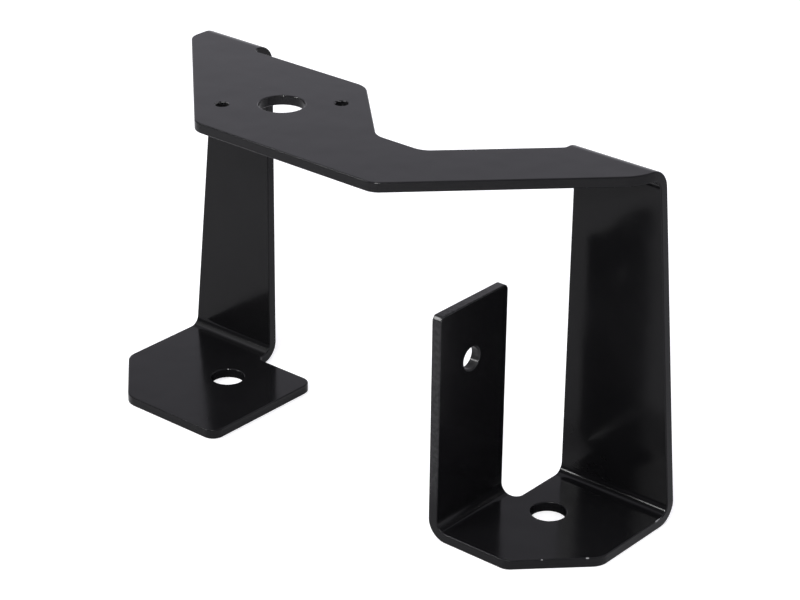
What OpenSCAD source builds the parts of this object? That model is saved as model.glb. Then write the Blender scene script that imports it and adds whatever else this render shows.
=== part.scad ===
// Work light bracket, folded from one sheet of steel and painted.
// A top plate with an angled lobe and an angled arm stands on two legs. Each leg ends in a foot with a
// bolt hole, and the right foot carries an upright tab. All sizes are in millimetres.
// The origin is on the underside of the feet, halfway between their two bolt holes. X runs along the
// bolt holes, Y runs to the back faces of the legs, and Z is up.

/* [Sheet] */
// Thickness of the sheet
sheet_t = 4; // [3:0.5:5]
// Inside radius of every bend
bend_r = 4; // [2:0.5:6]
// Distance from an open edge to the start of the bend beside it
relief = 3.5; // [2:0.5:6]
// Radius of the inner corners beside the bends
relief_r = 3; // [1:0.5:3.5]

/* [Overall] */
// Height of the top face above the underside of the feet
height = 140; // [110:5:200]
// Clear width between the straight sides of the two legs
leg_gap = 152; // [145:1:180]
// Angle between the slanted edges and the front edge
slant = 45; // [42:1:48]

/* [Top plate] */
// Depth from the back faces of the legs to the front edge of the top plate
plate_depth = 81; // [76:0.5:90]
// Depth from the back faces of the legs to the centre of the large hole
lobe_depth = 46.4; // [42:0.2:50]
// Distance from the left leg's straight side to the centre of the large hole
lobe_x = 47.4; // [42:0.1:52]
// Width of the angled lobe around the large hole
lobe_w = 65.5; // [60:0.5:72]
// Length of the front edge of the top plate
front_len = 85.8; // [80:0.2:95]
// Width of the angled arm that runs to the right leg
arm_w = 28.7; // [24:0.1:34]
// Radius of the notch's corners behind the arm
notch_r = 9; // [3:0.5:12]
// Radius of the lobe's back corner
lobe_r = 10; // [2:0.5:12]
// Radius of the outer corners along the front and the left side of the top plate
front_r = 7.5; // [1:0.5:10]
// Radius where the arm meets the right leg, held to the length of straight edge beside the bend
arm_r = 12; // [4:0.5:16]

/* [Legs] */
// Width of the left leg at the top
left_top_w = 29.5; // [26:0.5:36]
// Width of the left leg at the foot
left_foot_w = 42; // [36:0.5:50]
// Width of the right leg at the top
right_top_w = 38; // [32:0.5:44]
// Width of the right leg at the foot
right_foot_w = 49.5; // [44:0.5:56]

/* [Feet] */
// Depth from the back faces of the legs to the front edges of the feet
foot_depth = 70; // [64:1:76]
// Width of the left foot
left_pad_w = 73; // [66:0.5:80]
// Length of the bevelled corners of the feet, measured along the foot
foot_bevel = 25; // [18:0.5:30]
// Radius of the feet's bevel corners at the outer sides, and of the left foot's front bevel corner
foot_side_r = 8; // [3:0.5:12]
// Radius of the other corners of the feet
foot_r = 5; // [2:0.5:7]
// Distance between the centres of the two bolt holes
bolt_pitch = 165; // [160:1:172]
// Distance from the left leg's straight side to the left bolt hole, out under the top plate
bolt_inset = 2; // [-3:0.5:6]
// Depth from the back faces of the legs to the bolt holes
bolt_depth = 31.5; // [28:0.5:36]

/* [Tab] */
// Height of the tab above the underside of the feet
tab_height = 91; // [76:0.5:110]
// Width of the tab
tab_w = 39; // [34:0.5:44]
// Distance from the right leg's straight side to the inner face of the tab
tab_inset = 7.5; // [4:0.5:12]
// Radius of the tab's top corners
tab_r = 2.5; // [1:0.5:8]
// Height of the tab's hole
tab_hole_z = 68; // [50:0.5:76]
// Distance from the front edge of the tab to the centre of its hole
tab_hole_y = 18.5; // [12:0.5:24]

/* [Holes] */
// Diameter of the bolt holes in the feet
bolt_d = 13.5; // [11:0.5:15]
// Diameter of the large hole in the top plate
lobe_d = 17.5; // [12:0.5:24]
// Diameter of the hole in the tab
tab_d = 9; // [6.5:0.5:11]
// Core diameter of the two tapped holes
tapped_d = 5; // [4:0.1:6.8]
// Distance between the centres of the two tapped holes
tapped_pitch = 44.5; // [38:0.5:50]
// Angle of the line through the two tapped holes
tapped_angle = 43; // [40:1:50]

/* [Hidden] */
$fn = 96;
paint = [0.09, 0.09, 0.1];
eps = 0.01;

outer_r = bend_r + sheet_t;
back_y = bolt_depth;
open_y = back_y - outer_r - relief;
bend_y = back_y - outer_r;
left_x = -bolt_pitch / 2 - bolt_inset;
right_x = left_x + leg_gap;
front_y = back_y - plate_depth;
hole_x = left_x + lobe_x;
hole_y = back_y - lobe_depth;
pad_y = back_y - foot_depth;
pad_bend_z = outer_r;
leg_top_z = height - outer_r;
tab_x = right_x - tab_inset;
tab_bend_x = tab_x + bend_r;
tab_back_y = pad_y + tab_w;

// Offsets of the slanted edges along X, from half the width of the band that they bound.
lobe_half = lobe_w / 2 / sin(slant);
arm_dx = arm_w / sin(slant);
run = 1 / tan(slant);

lobe_front_x = hole_x - lobe_half + (hole_y - front_y) * run;
arm_front_x = lobe_front_x + front_len;
arm_back_x = arm_front_x - arm_dx + (hole_y - front_y) * run;
arm_corner_y = front_y + (right_x + right_top_w - arm_front_x) / run;
arm_round = min(arm_r, (bend_y - arm_corner_y) / tan(slant / 2) * 0.98);

// The corner behind the tab is as wide as the flat beside the tab's bend.
tab_root_r = min(relief_r, right_x - tab_bend_x);

function unit(v) = v / norm(v);
function turn(a, b, c) = (b[0] - a[0]) * (c[1] - b[1]) - (b[1] - a[1]) * (c[0] - b[0]);
function opening(a, b, c) = acos(unit(a - b) * unit(c - b));

// The sliver between a sharp corner and the arc of radius r that rounds it.
module corner_sliver(a, b, c, r) {
    half = opening(a, b, c) / 2;
    reach = r / tan(half);
    from_b = unit(unit(a - b) + unit(c - b));
    centre = b + from_b * r / sin(half);
    difference() {
        polygon([b - from_b * eps, b + unit(a - b) * reach, centre, b + unit(c - b) * reach]);
        translate(centre) circle(r = r);
    }
}

// Polygon with its own radius at each corner. Points run anticlockwise; outer corners lose their
// sliver, and inner corners gain it.
module rounded(points, radii) {
    count = len(points);
    difference() {
        union() {
            polygon(points);
            for (i = [0 : count - 1]) {
                a = points[(i + count - 1) % count];
                b = points[i];
                c = points[(i + 1) % count];
                if (radii[i] > 0 && turn(a, b, c) < 0) corner_sliver(a, b, c, radii[i]);
            }
        }
        for (i = [0 : count - 1]) {
            a = points[(i + count - 1) % count];
            b = points[i];
            c = points[(i + 1) % count];
            if (radii[i] > 0 && turn(a, b, c) > 0) corner_sliver(a, b, c, radii[i]);
        }
    }
}

// Quarter ring of sheet, its axis along X from x0 to x1.
module bend(x0, x1) {
    translate([x0, 0, 0])
        rotate([90, 0, 90])
            rotate_extrude(angle = 90)
                translate([bend_r, 0])
                    square([sheet_t, x1 - x0]);
}

module top_plate() {
    outline = [
        [left_x - left_top_w, bend_y],
        [left_x - left_top_w, hole_y + (hole_x - lobe_half - left_x + left_top_w) / run],
        [lobe_front_x, front_y],
        [arm_front_x, front_y],
        [right_x + right_top_w, arm_corner_y],
        [right_x + right_top_w, bend_y],
        [right_x, bend_y],
        [right_x, hole_y + (right_x - arm_back_x) / run],
        [arm_back_x, hole_y],
        [hole_x + lobe_half, hole_y],
        [hole_x + lobe_half - (open_y - hole_y) * run, open_y],
        [left_x, open_y],
        [left_x, bend_y]
    ];
    radii = [0, front_r, front_r, front_r, arm_round, 0, 0, 0, notch_r, notch_r, lobe_r, relief_r, 0];
    translate([0, 0, height - sheet_t])
        linear_extrude(sheet_t)
            rounded(outline, radii);
}

module left_leg() {
    outline = [
        [left_x, pad_bend_z],
        [left_x, leg_top_z],
        [left_x - left_top_w, leg_top_z],
        [left_x - left_foot_w, pad_bend_z]
    ];
    translate([0, back_y, 0])
        rotate([90, 0, 0])
            linear_extrude(sheet_t)
                polygon(outline);
}

module right_leg() {
    outline = [
        [right_x, leg_top_z],
        [right_x, pad_bend_z],
        [right_x + right_foot_w, pad_bend_z],
        [right_x + right_top_w, leg_top_z]
    ];
    translate([0, back_y, 0])
        rotate([90, 0, 0])
            linear_extrude(sheet_t)
                polygon(outline);
}

module top_bends() {
    translate([0, bend_y, leg_top_z]) {
        bend(left_x - left_top_w, left_x);
        bend(right_x, right_x + right_top_w);
    }
}

module foot_bends() {
    translate([0, bend_y, pad_bend_z])
        mirror([0, 0, 1]) {
            bend(left_x - left_foot_w, left_x);
            bend(right_x, right_x + right_foot_w);
        }
}

module left_foot() {
    far_x = left_x - left_foot_w;
    outline = [
        [far_x, bend_y],
        [far_x, pad_y + foot_bevel],
        [far_x + foot_bevel, pad_y],
        [far_x + left_pad_w, pad_y],
        [far_x + left_pad_w, open_y],
        [left_x, open_y],
        [left_x, bend_y]
    ];
    linear_extrude(sheet_t)
        rounded(outline, [0, foot_side_r, foot_side_r, foot_r, foot_r, relief_r, 0]);
}

module right_foot() {
    far_x = right_x + right_foot_w;
    outline = [
        [right_x, bend_y],
        [right_x, tab_back_y],
        [tab_bend_x, tab_back_y],
        [tab_bend_x, pad_y],
        [far_x - foot_bevel, pad_y],
        [far_x, pad_y + foot_bevel],
        [far_x, bend_y]
    ];
    linear_extrude(sheet_t)
        rounded(outline, [0, tab_root_r, 0, 0, foot_r, foot_side_r, 0]);
}

module tab_bend() {
    translate([tab_bend_x, pad_y, outer_r])
        rotate([0, 0, 90])
            mirror([0, 0, 1])
                bend(0, tab_w);
}

module tab() {
    outline = [
        [pad_y, outer_r],
        [tab_back_y, outer_r],
        [tab_back_y, tab_height],
        [pad_y, tab_height]
    ];
    translate([tab_x - sheet_t, 0, 0])
        rotate([90, 0, 90])
            linear_extrude(sheet_t)
                rounded(outline, [0, 0, tab_r, tab_r]);
}

module hole(d) {
    translate([0, 0, -eps - sheet_t]) cylinder(d = d, h = 2 * sheet_t + 2 * eps);
}

module bracket() {
    color(paint)
        difference() {
            union() {
                top_plate();
                top_bends();
                left_leg();
                right_leg();
                foot_bends();
                left_foot();
                right_foot();
                tab_bend();
                tab();
            }
            for (side = [-1, 1]) translate([side * bolt_pitch / 2, 0, 0]) hole(bolt_d);
            translate([hole_x, hole_y, height]) {
                hole(lobe_d);
                for (side = [-1, 1])
                    rotate([0, 0, tapped_angle]) translate([side * tapped_pitch / 2, 0, 0]) hole(tapped_d);
            }
            translate([tab_x, pad_y + tab_hole_y, tab_hole_z]) rotate([0, 90, 0]) hole(tab_d);
        }
}

bracket();
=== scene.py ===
"""Looks of the work light bracket: one sheet of steel, cut flat, folded and painted glossy black."""

import math

import bpy
from mathutils import Matrix, Vector
from mathutils.geometry import delaunay_2d_cdt


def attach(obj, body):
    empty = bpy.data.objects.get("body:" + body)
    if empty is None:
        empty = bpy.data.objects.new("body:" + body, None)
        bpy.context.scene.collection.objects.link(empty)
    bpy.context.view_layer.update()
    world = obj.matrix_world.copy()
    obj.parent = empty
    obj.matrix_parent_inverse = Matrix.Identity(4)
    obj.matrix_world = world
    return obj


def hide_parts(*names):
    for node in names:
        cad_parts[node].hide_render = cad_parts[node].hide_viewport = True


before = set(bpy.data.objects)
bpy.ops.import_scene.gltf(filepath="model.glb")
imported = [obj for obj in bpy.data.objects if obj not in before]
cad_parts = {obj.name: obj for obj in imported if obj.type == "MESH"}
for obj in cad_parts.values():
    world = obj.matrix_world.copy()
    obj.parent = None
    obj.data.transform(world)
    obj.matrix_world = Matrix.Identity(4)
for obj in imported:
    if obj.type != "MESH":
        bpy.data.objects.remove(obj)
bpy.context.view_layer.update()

# Driving dimensions in millimetres. Those that the CAD model has too are the same there, apart from
# ARM_R and RIGHT_TOP_W: here the right leg's edge runs straight on through the top bend. The mesh is
# scaled to metres.
MM = 0.001

SHEET = 4.0
BEND_R = 4.0
RELIEF = 3.5
RELIEF_R = 3.0
HEIGHT = 140.0
LEG_GAP = 152.0

PLATE_DEPTH = 81.0
LOBE_DEPTH = 46.4
LOBE_X = 47.4
LOBE_W = 65.5
FRONT_LEN = 85.8
ARM_W = 28.7
NOTCH_R = 9.0
LOBE_R = 10.0
FRONT_R = 7.5
ARM_R = 20.0
ARM_ROOT_R = 2.5

LEFT_TOP_W = 29.5
LEFT_FOOT_W = 42.0
RIGHT_TOP_W = 38.4
RIGHT_FOOT_W = 49.5
LEG_CORNER_R = 15.0

FOOT_DEPTH = 70.0
LEFT_PAD_W = 73.0
FOOT_BEVEL = 25.0
FOOT_SIDE_R = 8.0
FOOT_R = 5.0
BOLT_PITCH = 165.0
BOLT_INSET = 2.0
BOLT_DEPTH = 31.5

TAB_HEIGHT = 91.0
TAB_W = 39.0
TAB_INSET = 7.5
TAB_R = 2.5
TAB_HOLE_Y = 18.5
TAB_HOLE_Z = 68.0
# A short flat takes the place of an arc at the tab's front top corner.
TAB_FLAT_Y = 1.2
TAB_FLAT_Z = 1.71
TAB_FLAT_TOP_R = 1.0
TAB_FLAT_FRONT_R = 1.7

BOLT_D = 13.5
LOBE_D = 17.5
TAB_D = 9.0
TAPPED_D = 5.0
TAPPED_PITCH = 44.5
TAPPED_ANGLE = math.radians(43)
TAPPED_MOUTH_R = 2.85
THREAD_PITCH = 1.0
THREAD_DEPTH = 0.56
THREAD_FLANK = 0.9

# Radius of the rounding along every cut edge.
EDGE_R = 0.5

# Places that follow from the driving dimensions.
OUTER_R = BEND_R + SHEET
BACK_Y = BOLT_DEPTH
BEND_Y = BACK_Y - OUTER_R
OPEN_Y = BEND_Y - RELIEF
FRONT_Y = BACK_Y - PLATE_DEPTH
BOLT_X = BOLT_PITCH / 2
LEFT_X = -BOLT_X - BOLT_INSET
RIGHT_X = LEFT_X + LEG_GAP
LEG_TOP_Z = HEIGHT - OUTER_R
FOOT_BEND_Z = OUTER_R
HOLE_X = LEFT_X + LOBE_X
HOLE_Y = BACK_Y - LOBE_DEPTH
PAD_Y = BACK_Y - FOOT_DEPTH
TAB_BEND_X = RIGHT_X - TAB_INSET + BEND_R
TAB_BACK_Y = PAD_Y + TAB_W

# The flat blank. u is X across the legs and v runs along the sheet: over the top plate, round the top
# bend, down the leg, round the foot bend and out along the foot. Side A is the top of the plate, and so
# the underside of the feet.
BEND_LEN = (BEND_R + SHEET / 2) * math.pi / 2
V_TOP = BEND_Y
V_LEG = V_TOP + BEND_LEN
V_FOOT_BEND = V_LEG + LEG_TOP_Z - FOOT_BEND_Z
V_FOOT = V_FOOT_BEND + BEND_LEN
U_TAB = TAB_BEND_X
U_TAB_FLAT = U_TAB - BEND_LEN
U_TAB_TOP = U_TAB_FLAT - (TAB_HEIGHT - OUTER_R)
# Between the left foot and the top of the tab.
LEFT_END_U = -40.0
U_AXIS, V_AXIS = 0, 1

# Fineness of the mesh, in millimetres or as a count.
BEND_STEPS = 16
CORNER_STEP = 0.35
CORNER_ANGLE = math.radians(9)
LEAST_CORNER_STEPS = 3
EDGE_STEPS = 4
LOBE_HOLE_SIDES = 120
BOLT_HOLE_SIDES = 96
TAB_HOLE_SIDES = 72
TAPPED_SIDES = 48
TAPPED_ROWS = 48
SLOPE_STEP = 0.02
# No outline point stays closer than this to a bend, apart from the points on its fold lines.
BEND_CLEAR = 0.12
# Longest mitre of the inset outline, as a multiple of its inset.
LONGEST_MITRE = 2
# Settings of the flat faces' triangulation: all of the convex hull, and how near two points may be.
WHOLE_HULL = 0
FLAT_EPSILON = 1e-5
# Triangles lower than this lie outside the outline, along its arcs.
SLIVER_HEIGHT = 0.0001

ACROSS = Vector((1, 0, 0))
BACK = Vector((0, 1, 0))
UP = Vector((0, 0, 1))

# The sheet's paint slots.
FLAT, EDGE, THREAD, HOLE_RIM = range(4)


def foot_v(y):
    """Place along the blank of a foot's point at y."""
    return V_FOOT + BEND_Y - y


def round_bend(travel, centre, start, end):
    """Point on a bend's outside, the way on along it, and its normal, which turns from start to end."""
    angle = travel / BEND_LEN * math.pi / 2
    normal = start * math.cos(angle) + end * math.sin(angle)
    onward = end * math.cos(angle) - start * math.sin(angle)
    return centre + normal * OUTER_R, onward, normal


def fold(u, v):
    """Point on side A and its frame (along u, along v, outward normal), in millimetres."""
    if v <= V_TOP:
        return Vector((u, v, HEIGHT)), ACROSS, BACK, UP
    if v < V_LEG:
        point, onward, normal = round_bend(v - V_TOP, Vector((u, BEND_Y, LEG_TOP_Z)), UP, BACK)
        return point, ACROSS, onward, normal
    if v <= V_FOOT_BEND:
        return Vector((u, BACK_Y, LEG_TOP_Z - (v - V_LEG))), ACROSS, -UP, BACK
    if v < V_FOOT:
        point, onward, normal = round_bend(v - V_FOOT_BEND, Vector((u, BEND_Y, FOOT_BEND_Z)), BACK, -UP)
        return point, ACROSS, onward, normal
    y = BEND_Y - (v - V_FOOT)
    if u >= U_TAB or u < LEFT_END_U:
        return Vector((u, y, 0)), ACROSS, -BACK, -UP
    if u > U_TAB_FLAT:
        point, onward, normal = round_bend(U_TAB - u, Vector((U_TAB, y, OUTER_R)), -UP, -ACROSS)
        return point, -onward, -BACK, normal
    return Vector((U_TAB - OUTER_R, y, OUTER_R + U_TAB_FLAT - u)), -UP, -BACK, -ACROSS


def turned(arm, angle):
    """The flat vector arm, turned by the angle."""
    return Vector((
        arm.x * math.cos(angle) - arm.y * math.sin(angle),
        arm.x * math.sin(angle) + arm.y * math.cos(angle),
    ))


def rounded_path(corners):
    """Closed outline from (u, v, radius) corners, with each corner turned into a fine arc."""
    points = []
    count = len(corners)
    for i in range(count):
        a = Vector(corners[i - 1][:2])
        b = Vector(corners[i][:2])
        c = Vector(corners[(i + 1) % count][:2])
        r = corners[i][2]
        to_a = (a - b).normalized()
        to_c = (c - b).normalized()
        half = math.acos(max(-1, min(1, to_a.dot(to_c)))) / 2
        centre = b + (to_a + to_c).normalized() * (r / math.sin(half))
        start = b + to_a * (r / math.tan(half))
        sweep = math.pi - 2 * half
        turn = (b - a).x * (c - b).y - (b - a).y * (c - b).x
        steps = max(LEAST_CORNER_STEPS, math.ceil(max(r * sweep / CORNER_STEP, sweep / CORNER_ANGLE)))
        for k in range(steps + 1):
            points.append(centre + turned(start - centre, math.copysign(sweep, turn) * k / steps))
    return points


def circle(u, v, diameter, sides):
    """Hole outline, clockwise, so that the sheet is on its left."""
    r = diameter / 2
    angles = [-2 * math.pi * k / sides for k in range(sides)]
    return [Vector((u + r * math.cos(angle), v + r * math.sin(angle))) for angle in angles]


def cut_at(points, bends, axis, applies):
    """Gives the closed path one point on each fold line of the bends, and none between those lines.

    Returns the new path and its points on the fold lines, each with the number of its line.
    """
    lines = [low + (high - low) * k / BEND_STEPS for low, high in bends for k in range(BEND_STEPS + 1)]
    path = []
    marks = []
    for i, p in enumerate(points):
        q = points[(i + 1) % len(points)]
        in_bend = any(low - BEND_CLEAR < p[axis] < high + BEND_CLEAR for low, high in bends)
        if not (applies(p) and in_bend):
            path.append(p)
        cuts = []
        for number, line in enumerate(lines):
            if (p[axis] - line) * (q[axis] - line) < 0 or p[axis] == line:
                along = (line - p[axis]) / (q[axis] - p[axis])
                point = p.lerp(q, along)
                if applies(point):
                    cuts.append((along, number, point))
        for along, number, point in sorted(cuts, key=lambda cut: cut[0]):
            marks.append((number, point))
            path.append(point)
    return path, marks


def anywhere(point):
    """For the legs' bends: nothing else of the sheet lies at their v."""
    return True


def on_right_foot(point):
    """For the tab's bend: the top plate lies at the same u, and gets none of its fold lines."""
    return point.y > V_FOOT and point.x > 0


def blank_outline():
    """The sheet's outline on the blank, anticlockwise."""
    slant_lobe = LOBE_W / 2 * math.sqrt(2)
    slant_arm = ARM_W * math.sqrt(2)
    left_top_u = LEFT_X - LEFT_TOP_W
    left_foot_u = LEFT_X - LEFT_FOOT_W
    left_pad_u = left_foot_u + LEFT_PAD_W
    right_top_u = RIGHT_X + RIGHT_TOP_W
    right_foot_u = RIGHT_X + RIGHT_FOOT_W
    lobe_front_u = HOLE_X - slant_lobe + HOLE_Y - FRONT_Y
    lobe_back_u = HOLE_X + slant_lobe
    arm_front_u = lobe_front_u + FRONT_LEN
    arm_back_u = arm_front_u - slant_arm + HOLE_Y - FRONT_Y
    # Where the arm's 45 degree edge meets the right leg's edge, which runs straight on through the bend.
    taper = (right_foot_u - right_top_u) / (V_FOOT_BEND - V_LEG)
    arm_v = (FRONT_Y - arm_front_u + right_top_u - taper * V_LEG) / (1 - taper)
    arm_u = right_top_u - taper * (V_LEG - arm_v)
    return rounded_path([
        (left_top_u, HOLE_Y + HOLE_X - slant_lobe - left_top_u, FRONT_R),
        (lobe_front_u, FRONT_Y, FRONT_R),
        (arm_front_u, FRONT_Y, FRONT_R),
        (arm_u, arm_v, ARM_R),
        (right_foot_u, V_FOOT_BEND, LEG_CORNER_R),
        (right_foot_u, foot_v(PAD_Y + FOOT_BEVEL), FOOT_SIDE_R),
        (right_foot_u - FOOT_BEVEL, foot_v(PAD_Y), FOOT_R),
        (U_TAB_TOP + TAB_FLAT_Z, foot_v(PAD_Y), TAB_FLAT_FRONT_R),
        (U_TAB_TOP, foot_v(PAD_Y + TAB_FLAT_Y), TAB_FLAT_TOP_R),
        (U_TAB_TOP, foot_v(TAB_BACK_Y), TAB_R),
        (RIGHT_X, foot_v(TAB_BACK_Y), RELIEF_R),
        (RIGHT_X, HOLE_Y + RIGHT_X - arm_back_u, ARM_ROOT_R),
        (arm_back_u, HOLE_Y, NOTCH_R),
        (lobe_back_u, HOLE_Y, NOTCH_R),
        (lobe_back_u - (OPEN_Y - HOLE_Y), OPEN_Y, LOBE_R),
        (LEFT_X, OPEN_Y, RELIEF_R),
        (LEFT_X, foot_v(OPEN_Y), RELIEF_R),
        (left_pad_u, foot_v(OPEN_Y), FOOT_R),
        (left_pad_u, foot_v(PAD_Y), FOOT_R),
        (left_foot_u + FOOT_BEVEL, foot_v(PAD_Y), FOOT_SIDE_R),
        (left_foot_u, foot_v(PAD_Y + FOOT_BEVEL), FOOT_SIDE_R),
        (left_foot_u, V_FOOT_BEND, LEG_CORNER_R),
        (left_top_u, V_LEG, LEG_CORNER_R),
    ])


def fold_edges(outline, marks, axis):
    """Edges across the sheet that join the outline's points on each fold line, as pairs of its indices."""
    index_of = {tuple(p): i for i, p in enumerate(outline)}
    by_line = {}
    for number, p in marks:
        by_line.setdefault(number, []).append(p)
    edges = []
    for points in by_line.values():
        points.sort(key=lambda p: p[axis])
        edges += [(index_of[tuple(a)], index_of[tuple(b)]) for a, b in zip(points[0::2], points[1::2])]
    return edges


def side_normals(points):
    """Outward normal and mitre at each point of a closed path that has the sheet on its left."""
    found = []
    for i, p in enumerate(points):
        before = (p - points[i - 1]).normalized()
        after = (points[(i + 1) % len(points)] - p).normalized()
        n1 = Vector((before.y, -before.x))
        n2 = Vector((after.y, -after.x))
        n = (n1 + n2).normalized()
        found.append((n, min(LONGEST_MITRE, 1 / n.dot(n1))))
    return found


def edge_profile():
    """Rows of a cut edge from side A to side B, as (inset, depth, tilt of the normal)."""
    rows = []
    for k in range(EDGE_STEPS + 1):
        tilt = math.pi / 2 * k / EDGE_STEPS
        rows.append((EDGE_R * (1 - math.sin(tilt)), EDGE_R * (1 - math.cos(tilt)), tilt))
    return rows + [(inset, SHEET - depth, math.pi - tilt) for inset, depth, tilt in reversed(rows)]


def tapped_radius(angle, depth):
    """Radius of a tapped hole: a helical thread, opened by a 45 degree cone at each mouth."""
    phase = (depth / THREAD_PITCH - angle / (2 * math.pi)) % 1
    thread = TAPPED_D / 2 + THREAD_DEPTH * (1 - abs(2 * phase - 1) ** THREAD_FLANK)
    mouth = TAPPED_MOUTH_R - min(depth, SHEET - depth)
    return max(thread, mouth)


def inside(p, ring):
    """Whether p is inside the closed ring, from the sides that a line out of p crosses."""
    found = False
    for i, a in enumerate(ring):
        b = ring[i - 1]
        if (a.y > p.y) != (b.y > p.y) and p.x < (b.x - a.x) * (p.y - a.y) / (b.y - a.y) + a.x:
            found = not found
    return found


class Skin:
    """The bracket's surface while it is made."""

    def __init__(self):
        self.points = []
        self.normals = []
        # 1 in the middle of a rounded edge and 0 on every flat face.
        self.corners = []
        self.faces = []
        self.slots = []
        # Rings on the blank that bound the flat faces, the sheet's own first, and the vertices on
        # side A and side B that belong to each of their points.
        self.rings = []
        self.ends = []

    def add_point(self, point, normal, corner):
        self.points.append(point * MM)
        self.normals.append(normal)
        self.corners.append(corner)
        return len(self.points) - 1

    def add_sheet_point(self, u, v, depth, tilt, n):
        """A point at the blank's (u, v), depth below side A, its normal tilted from side A towards n."""
        point, along_u, along_v, up = fold(u, v)
        outward = along_u * n.x + along_v * n.y
        normal = (up * math.cos(tilt) + outward * math.sin(tilt)).normalized()
        return self.add_point(point - up * depth, normal, abs(math.sin(2 * tilt)))

    def add_wall(self, columns, ring, slots):
        """A closed wall from columns of points, with a slot for each of its rows."""
        for i, column in enumerate(columns):
            after = columns[(i + 1) % len(columns)]
            for k, slot in enumerate(slots):
                self.faces.append((column[k + 1], after[k + 1], after[k], column[k]))
                self.slots.append(slot)
        self.rings.append(ring)
        self.ends += [(column[0], column[-1]) for column in columns]

    def add_cut_edge(self, path, side_a_slot):
        """The cut edge along a closed path, rounded on both sides, with a slot for side A's rounding."""
        rows = edge_profile()
        columns = []
        ring = []
        for p, (n, mitre) in zip(path, side_normals(path)):
            columns.append([
                self.add_sheet_point(p.x - n.x * inset * mitre, p.y - n.y * inset * mitre, depth, tilt, n)
                for inset, depth, tilt in rows
            ])
            ring.append(Vector((p.x - n.x * EDGE_R * mitre, p.y - n.y * EDGE_R * mitre)))
        slots = [side_a_slot] * EDGE_STEPS + [EDGE] * (len(rows) - 1 - EDGE_STEPS)
        self.add_wall(columns, ring, slots)

    def add_tapped_hole(self, u, v):
        """A threaded hole through the top plate."""
        columns = []
        ring = []
        for i in range(TAPPED_SIDES):
            angle = -2 * math.pi * i / TAPPED_SIDES
            out = Vector((math.cos(angle), math.sin(angle)))
            column = []
            for k in range(TAPPED_ROWS + 1):
                depth = SHEET * k / TAPPED_ROWS
                r = tapped_radius(angle, depth)
                above = tapped_radius(angle, max(0, depth - SLOPE_STEP))
                below = tapped_radius(angle, min(SHEET, depth + SLOPE_STEP))
                slope = (below - above) / (2 * SLOPE_STEP)
                normal = Vector((-out.x, -out.y, -slope)).normalized()
                if k == 0:
                    normal = UP
                if k == TAPPED_ROWS:
                    normal = -UP
                point = Vector((u + r * out.x, v + r * out.y, HEIGHT - depth))
                column.append(self.add_point(point, normal, 0.0))
            columns.append(column)
            ring.append(Vector((u + TAPPED_MOUTH_R * out.x, v + TAPPED_MOUTH_R * out.y)))
        self.add_wall(columns, ring, [THREAD] * TAPPED_ROWS)

    def add_flats(self, edges):
        """Side A and side B between the rings, with a mesh edge along each of the given fold edges."""
        points = []
        ring_edges = []
        for ring in self.rings:
            base = len(points)
            points += ring
            ring_edges += [(base + i, base + (i + 1) % len(ring)) for i in range(len(ring))]
        flat = delaunay_2d_cdt(points, ring_edges + edges, [], WHOLE_HULL, FLAT_EPSILON, True)
        flat_points, triangles, sources = flat[0], flat[2], flat[3]
        for triangle in triangles:
            a, b, c = (flat_points[i] for i in triangle)
            centre = (a + b + c) / 3
            if not inside(centre, self.rings[0]) or any(inside(centre, ring) for ring in self.rings[1:]):
                continue
            double_area = (b.x - a.x) * (c.y - a.y) - (b.y - a.y) * (c.x - a.x)
            longest = max((b - a).length, (c - b).length, (a - c).length)
            if abs(double_area) < SLIVER_HEIGHT * longest:
                continue
            ids = [sources[i][0] for i in triangle]
            if double_area < 0:
                ids.reverse()
            self.faces.append(tuple(self.ends[i][0] for i in ids))
            self.faces.append(tuple(self.ends[i][1] for i in reversed(ids)))
            self.slots += [FLAT, FLAT]

    def make(self, name):
        """The Blender object. Its attribute "edge" says where the rounded edges are."""
        mesh = bpy.data.meshes.new(name)
        mesh.from_pydata(self.points, [], self.faces)
        mesh.polygons.foreach_set("use_smooth", [True] * len(mesh.polygons))
        mesh.polygons.foreach_set("material_index", self.slots)
        mesh.normals_split_custom_set_from_vertices([tuple(n) for n in self.normals])
        edge = mesh.attributes.new("edge", "FLOAT", "POINT")
        edge.data.foreach_set("value", self.corners)
        mesh.update()
        made = bpy.data.objects.new(name, mesh)
        bpy.context.collection.objects.link(made)
        return made


def folded_sheet():
    """The whole bracket as one closed mesh."""
    outline = blank_outline()
    outline, leg_marks = cut_at(outline, [(V_TOP, V_LEG), (V_FOOT_BEND, V_FOOT)], V_AXIS, anywhere)
    outline, tab_marks = cut_at(outline, [(U_TAB_FLAT, U_TAB)], U_AXIS, on_right_foot)
    skin = Skin()
    skin.add_cut_edge(outline, EDGE)
    tab_hole_u = U_TAB_FLAT - (TAB_HOLE_Z - OUTER_R)
    for hole in (
        circle(HOLE_X, HOLE_Y, LOBE_D, LOBE_HOLE_SIDES),
        circle(-BOLT_X, foot_v(0), BOLT_D, BOLT_HOLE_SIDES),
        circle(BOLT_X, foot_v(0), BOLT_D, BOLT_HOLE_SIDES),
        circle(tab_hole_u, foot_v(PAD_Y + TAB_HOLE_Y), TAB_D, TAB_HOLE_SIDES),
    ):
        skin.add_cut_edge(hole, HOLE_RIM)
    for side in (-1, 1):
        reach = side * TAPPED_PITCH / 2
        skin.add_tapped_hole(HOLE_X + reach * math.cos(TAPPED_ANGLE), HOLE_Y + reach * math.sin(TAPPED_ANGLE))
    skin.add_flats(fold_edges(outline, leg_marks, U_AXIS) + fold_edges(outline, tab_marks, V_AXIS))
    return skin.make("folded_sheet")


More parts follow.
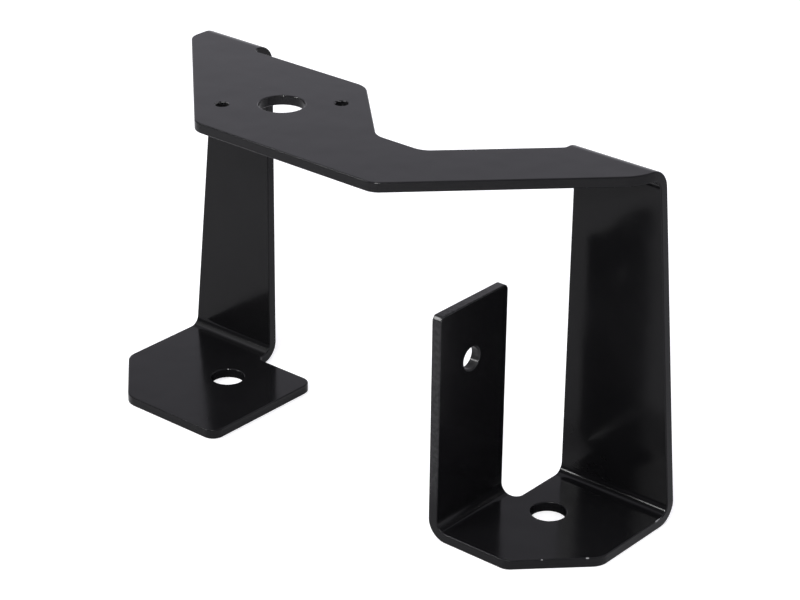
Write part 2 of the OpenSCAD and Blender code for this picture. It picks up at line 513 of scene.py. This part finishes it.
class Graph:
    """Adds nodes to one tree. Their inputs are numbers, colours, places or other nodes' outputs."""

    def __init__(self, tree):
        self.tree = tree

    def feed(self, socket, value):
        if isinstance(value, bpy.types.NodeSocket):
            self.tree.links.new(value, socket)
        else:
            socket.default_value = value

    def add(self, kind, inputs=None, **settings):
        made = self.tree.nodes.new(kind)
        for name, value in settings.items():
            setattr(made, name, value)
        for name, value in (inputs or {}).items():
            self.feed(made.inputs[name], value)
        return made

    def math(self, operation, a, b):
        return self.add("ShaderNodeMath", {0: a, 1: b}, operation=operation).outputs[0]

    def distance(self, a, b):
        return self.add("ShaderNodeVectorMath", {0: a, 1: b}, operation="DISTANCE").outputs["Value"]

    def ramp(self, value, low, high, start=0.0, end=1.0):
        """A smooth step from start, where the value is low, to end, where it is high."""
        inputs = {"Value": value, "From Min": low, "From Max": high, "To Min": start, "To Max": end}
        return self.add("ShaderNodeMapRange", inputs, interpolation_type="SMOOTHSTEP").outputs["Result"]

    def mix(self, factor, a, b):
        inputs = {"Factor": factor, "A": a, "B": b}
        return self.add("ShaderNodeMix", inputs, data_type="RGBA").outputs["Result"]

    def noise(self, place, scale, detail):
        inputs = {"Vector": place, "Scale": scale, "Detail": detail}
        return self.add("ShaderNodeTexNoise", inputs).outputs["Fac"]

    def bump(self, height, distance, under=None):
        """Normals of a relief that is distance high, in metres, on top of the relief under it."""
        inputs = {"Height": height, "Distance": distance, "Strength": 1.0}
        if under:
            inputs["Normal"] = under
        return self.add("ShaderNodeBump", inputs).outputs["Normal"]


# Paint. Heights, places and radii are in millimetres. A noise is its scale, in waves per metre, and its
# detail, and a range is where a smooth step in it starts and ends.
WAVE_NOISE = (75.0, 1.0)
WAVE_HEIGHT = 0.09
PEEL_NOISE = (420.0, 2.0)
# Nibs of dust: cells per metre, the rim of a nib as distance from its middle, and the random tone from
# which a cell has one.
NIB_SCALE = 130.0
NIB_HEIGHT = 0.05
NIB_RIM = (0.03, 0.085)
NIB_RARITY = (0.8, 0.81)
# Clouds vary the film's roughness and tone, as multiples of each paint's own.
CLOUD_NOISE = (55.0, 4.0)
CLOUD_RANGE = (0.3, 0.7)
CLOUD_ROUGHNESS = (0.88, 1.14)
DEEP_TINT = (0.85, 0.85, 0.95)
PALE_TINT = (1.2, 1.18, 1.28)

# Two painted glints and a speckled light patch on the right foot, each solid out to the share of its radius
# set below. They stay on the corners.
GLINT_SPOT, GLINT_SPOT_R = (113.3, -17.2, 3.9), 0.7
SMALL_GLINT_SPOT, SMALL_GLINT_SPOT_R = (101.5, -29.0, 3.9), 0.45
SPECKLED_PLACE, SPECKLED_R = (117.0, 20.0, 4.0), 4.5
SPECKLED_NOISE = (330.0, 2.0)
SPECKLED_RANGE = (0.5, 0.56)
SPOT_SOLID = 0.6
CORNER_RANGE = (0.25, 0.6)
GLINT_AND_BARE_METAL = (0.3, 0.3, 0.3, 1)

# The tab's paler speckle fades out between two distances from the middle of the tab.
TAB_MIDDLE = (58.0, -19.0, 58.0)
TAB_REACH = (36.0, 50.0)
TAB_PALE_NOISE = (620.0, 2.0)
TAB_PALE_RANGE = (0.38, 0.64)
TAB_PALE_LEAST = 0.5
TAB_PALE_COLOUR = (0.05, 0.05, 0.051, 1)
TAB_PALE_SHARE = 0.42

# The thread's flecks fade out between two depths below the top of the plate.
FLECK_NOISE = (1100.0, 1.0)
FLECK_RANGE = (0.47, 0.53)
FLECK_DEPTH = (0.9, 0.6)
FLECK_SHARE = 0.25


def tinted(level, tint):
    """Opaque colour of a tint at some level."""
    return (*(level * share for share in tint), 1)


def relief(graph, place, peel_height):
    """Normals of the film: slow waves, orange peel, and a few nibs of dust under it."""
    waves = graph.bump(graph.noise(place, *WAVE_NOISE), WAVE_HEIGHT * MM)
    peel = graph.bump(graph.noise(place, *PEEL_NOISE), peel_height * MM, waves)
    cells = graph.add("ShaderNodeTexVoronoi", {"Vector": place, "Scale": NIB_SCALE}).outputs
    spot = graph.ramp(cells["Distance"], *NIB_RIM, 1.0, 0.0)
    rare = graph.ramp(cells["Color"], *NIB_RARITY)
    return graph.bump(graph.math("MULTIPLY", spot, rare), NIB_HEIGHT * MM, peel)


def enamel(name, roughness, ior, tone, peel_height, colour_marks=()):
    """Glossy black stove enamel. Each function in the last argument changes the film's colour in some places:
    painted glints, a paler speckle and bare steel.
    """
    material = bpy.data.materials.new(name)
    material.use_nodes = True
    graph = Graph(material.node_tree)
    place = graph.add("ShaderNodeTexCoord").outputs["Object"]
    cloud = graph.noise(place, *CLOUD_NOISE)
    colour = graph.mix(cloud, tinted(tone, DEEP_TINT), tinted(tone, PALE_TINT))
    for change in colour_marks:
        colour = change(graph, place, colour)
    low, high = (roughness * share for share in CLOUD_ROUGHNESS)
    inputs = material.node_tree.nodes["Principled BSDF"].inputs
    inputs["IOR"].default_value = ior
    graph.feed(inputs["Base Color"], colour)
    graph.feed(inputs["Roughness"], graph.ramp(cloud, *CLOUD_RANGE, low, high))
    graph.feed(inputs["Normal"], relief(graph, place, peel_height))
    return material


def pale_tab_speckle(graph, place, colour):
    """The tab's cut sides are paler and speckled, out to some distance from the tab's middle."""
    low, high = (reach * MM for reach in TAB_REACH)
    on_tab = graph.ramp(graph.distance(place, Vector(TAB_MIDDLE) * MM), low, high, 1.0, 0.0)
    speckle = graph.ramp(graph.noise(place, *TAB_PALE_NOISE), *TAB_PALE_RANGE, TAB_PALE_LEAST, 1.0)
    share = graph.math("MULTIPLY", graph.math("MULTIPLY", on_tab, speckle), TAB_PALE_SHARE)
    return graph.mix(share, colour, TAB_PALE_COLOUR)


def painted_glints_and_speckle(graph, place, colour):
    """Along the right foot: painted glints as two small light spots of bare-metal colour on the sheet's
    rounded corners, and a speckled light patch near the foot bend's right end, also on the corners.
    """
    edge = graph.add("ShaderNodeAttribute", attribute_name="edge").outputs["Fac"]
    corner = graph.ramp(edge, *CORNER_RANGE)
    speckle = graph.ramp(graph.noise(place, *SPECKLED_NOISE), *SPECKLED_RANGE)
    light_spots = 0.0
    for middle, radius, mask in (
        (GLINT_SPOT, GLINT_SPOT_R, corner),
        (SMALL_GLINT_SPOT, SMALL_GLINT_SPOT_R, corner),
        (SPECKLED_PLACE, SPECKLED_R, speckle),
    ):
        reach = graph.distance(place, Vector(middle) * MM)
        spot = graph.ramp(reach, radius * SPOT_SOLID * MM, radius * MM, 1.0, 0.0)
        light_spots = graph.math("MAXIMUM", light_spots, graph.math("MULTIPLY", spot, mask))
    return graph.mix(graph.math("MULTIPLY", light_spots, corner), colour, GLINT_AND_BARE_METAL)


def thread_flecks_and_glints(graph, place, colour):
    """Small light flecks at the first turn of the thread: bare steel where the tap cut, and painted glints on
    the thread.
    """
    height = graph.add("ShaderNodeSeparateXYZ", {0: place}).outputs["Z"]
    low, high = ((HEIGHT - depth) * MM for depth in FLECK_DEPTH)
    mouth = graph.ramp(height, low, high, 0.0, FLECK_SHARE)
    fleck = graph.ramp(graph.noise(place, *FLECK_NOISE), *FLECK_RANGE)
    return graph.mix(graph.math("MULTIPLY", mouth, fleck), colour, GLINT_AND_BARE_METAL)


def flat_paint():
    return enamel("gloss_black_paint", roughness=0.15, ior=1.235, tone=0.0055, peel_height=0.0035)


def edge_paint():
    colour_marks = (pale_tab_speckle, painted_glints_and_speckle)
    return enamel("gloss_black_edge", roughness=0.17, ior=1.24, tone=0.0075, peel_height=0.006, colour_marks=colour_marks)


# Darker and less reflective than the flat paint: painted shade inside the tapped holes.
def thread_paint():
    colour_marks = (thread_flecks_and_glints,)
    return enamel("threaded_black", roughness=0.12, ior=1.16, tone=0.004, peel_height=0.004, colour_marks=colour_marks)


def hole_rim_paint():
    return enamel("hole_rim_black", roughness=0.11, ior=1.42, tone=0.0055, peel_height=0.004)


sheet = folded_sheet()
# In the order of the slots FLAT, EDGE, THREAD and HOLE_RIM.
for coat in (flat_paint(), edge_paint(), thread_paint(), hole_rim_paint()):
    sheet.data.materials.append(coat)
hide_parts("bracket")
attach(sheet, "root")

# Floor. Its glow is added for the camera and for what the paint mirrors.
FLOOR_SIZE = 12
FLOOR_COLOUR = (0.77, 0.77, 0.77, 1)
FLOOR_ROUGHNESS = 0.9
FLOOR_GLOW = (("Is Camera Ray", 0.52), ("Is Glossy Ray", 0.08))
BOLT_SHADE_R = (8.0, 11.0)
WHITE = (1, 1, 1, 1)
BLACK = (0, 0, 0, 1)


def floor_paint():
    """Matt pale paint with the glow, and with painted shade under the two bolt holes."""
    material = bpy.data.materials.new("studio_floor")
    material.use_nodes = True
    graph = Graph(material.node_tree)
    shader = material.node_tree.nodes["Principled BSDF"]
    shader.inputs["Base Color"].default_value = FLOOR_COLOUR
    shader.inputs["Roughness"].default_value = FLOOR_ROUGHNESS
    shader.inputs["Specular IOR Level"].default_value = 0.0
    rays = graph.add("ShaderNodeLightPath").outputs
    lit = shader.outputs[0]
    for ray, strength in FLOOR_GLOW:
        level = graph.math("MULTIPLY", rays[ray], strength)
        glow = graph.add("ShaderNodeEmission", {"Color": WHITE, "Strength": level}).outputs[0]
        lit = graph.add("ShaderNodeAddShader", {0: lit, 1: glow}).outputs[0]
    # Painted shade: the paint mirrors the floor at the bottom of the two bolt holes as black.
    place = graph.add("ShaderNodeTexCoord").outputs["Object"]
    either_side = graph.add("ShaderNodeVectorMath", {0: place}, operation="ABSOLUTE").outputs["Vector"]
    low, high = (radius * MM for radius in BOLT_SHADE_R)
    near_bolt = graph.ramp(graph.distance(either_side, (BOLT_X * MM, 0, 0)), low, high, 1.0, 0.0)
    shaded = graph.math("MULTIPLY", near_bolt, rays["Is Glossy Ray"])
    dark = graph.add("ShaderNodeEmission", {"Color": BLACK, "Strength": 0.0}).outputs[0]
    surface = graph.add("ShaderNodeMixShader", {0: shaded, 1: lit, 2: dark}).outputs[0]
    graph.feed(material.node_tree.nodes["Material Output"].inputs["Surface"], surface)
    return material


bpy.ops.mesh.primitive_plane_add(size=FLOOR_SIZE)
floor = bpy.context.object
floor.name = "studio_floor"
floor.data.materials.append(floor_paint())

# Sky. Its colour goes by height, from 0 at the horizon to 1 overhead. It is dim in front, below OVERHEAD.
SKY_HORIZON = (0.95, 0.95, 1.0, 1)
SKY_ZENITH = (1.25, 1.25, 1.29, 1)
SKY_TINT = (0.98, 0.96, 1.06)
SKY_BANDS = (
    (0.354, 0.83), (0.386, 0.79), (0.46, 0.66), (0.515, 0.58), (0.62, 0.5), (0.72, 0.6), (0.86, 1.05),
)
FRONT_STRENGTH = 0.15
FRONT_TO_BACK = (-0.6, 0.5)
OVERHEAD = (0.55, 0.8)


def studio_world():
    """A soft sky that is bright behind the bracket and overhead."""
    world = bpy.data.worlds.new("studio")
    world.use_nodes = True
    graph = Graph(world.node_tree)
    place = graph.add("ShaderNodeTexCoord").outputs["Generated"]
    direction = graph.add("ShaderNodeSeparateXYZ", {0: place}).outputs
    sky = graph.add("ShaderNodeValToRGB", {0: direction["Z"]})
    stops = sky.color_ramp.elements
    stops[0].position = 0.0
    stops[0].color = SKY_HORIZON
    stops[1].position = 1.0
    stops[1].color = SKY_ZENITH
    for height, level in SKY_BANDS:
        stops.new(height).color = tinted(level, SKY_TINT)
    behind = graph.ramp(direction["Y"], *FRONT_TO_BACK, FRONT_STRENGTH, 1.0)
    overhead = graph.ramp(direction["Z"], *OVERHEAD)
    background = world.node_tree.nodes["Background"]
    graph.feed(background.inputs["Color"], sky.outputs["Color"])
    graph.feed(background.inputs["Strength"], graph.math("MAXIMUM", behind, overhead))
    return world


bpy.context.scene.world = studio_world()

# Lamps: place, aim and size in metres, and power in watts. The glints share the place of a lamp that
# lights everything, but show only in the gloss.
KEY = {"place": (-0.74, -1.0, 0.83), "aim": (0, 0, 0.05), "size": (0.42, 0.17)}
FRONT = {"place": (0.25, -0.5, 0.45), "aim": (0.05, -0.12, 0), "size": (0.02, 0.02)}
FLASH = {"place": (0.552, -0.693, 0.584), "aim": (0.06, -0.015, 0.035), "size": (0.05, 0.03)}
CEILING = {"place": (-0.84, -0.3, 0.86), "aim": (0, 0, 0.05), "size": (0.6, 0.6)}


def softbox(name, power, place, aim, size, lights_matt=True):
    """A rectangular lamp that points at its aim."""
    lamp = bpy.data.lights.new(name, "AREA")
    lamp.shape = "RECTANGLE"
    lamp.size, lamp.size_y = size
    lamp.energy = power
    box = bpy.data.objects.new(name, lamp)
    box.location = place
    box.rotation_euler = (Vector(aim) - Vector(place)).to_track_quat("-Z", "Y").to_euler()
    box.visible_diffuse = lights_matt
    bpy.context.collection.objects.link(box)


softbox("key", 8, **KEY)
softbox("front", 1.4, **FRONT)
softbox("glint", 4.6, **FRONT, lights_matt=False)
softbox("flash", 1.6, **FLASH)
softbox("flash_glint", 1.4, **FLASH, lights_matt=False)
softbox("overhead", 1.4, **CEILING)

# Camera: place in metres, lens in millimetres and angles in degrees. Heading is from +Y towards -X, tilt
# is above the horizon, and roll is anticlockwise.
EYE_PLACE = (0.571413, -0.673127, 0.490679)
EYE_HEADING = 39.8774
EYE_TILT = -25.72518
EYE_ROLL = 0.70311
EYE_LENS = 115.661
SENSOR_WIDTH = 36
CLIP_START, CLIP_END = 0.05, 30


def studio_camera():
    """The camera at the photograph's viewing angle."""
    camera = bpy.data.cameras.new("camera")
    camera.sensor_width = SENSOR_WIDTH
    camera.lens = EYE_LENS
    camera.clip_start = CLIP_START
    camera.clip_end = CLIP_END
    eye = bpy.data.objects.new("camera", camera)
    turn = Matrix.Rotation(math.radians(EYE_HEADING), 4, "Z")
    lift = Matrix.Rotation(math.radians(90 + EYE_TILT), 4, "X")
    roll = Matrix.Rotation(math.radians(EYE_ROLL), 4, "Z")
    eye.matrix_world = Matrix.Translation(EYE_PLACE) @ turn @ lift @ roll
    bpy.context.collection.objects.link(eye)
    return eye


bpy.context.scene.camera = studio_camera()
bpy.context.scene.view_settings.view_transform = "Standard"
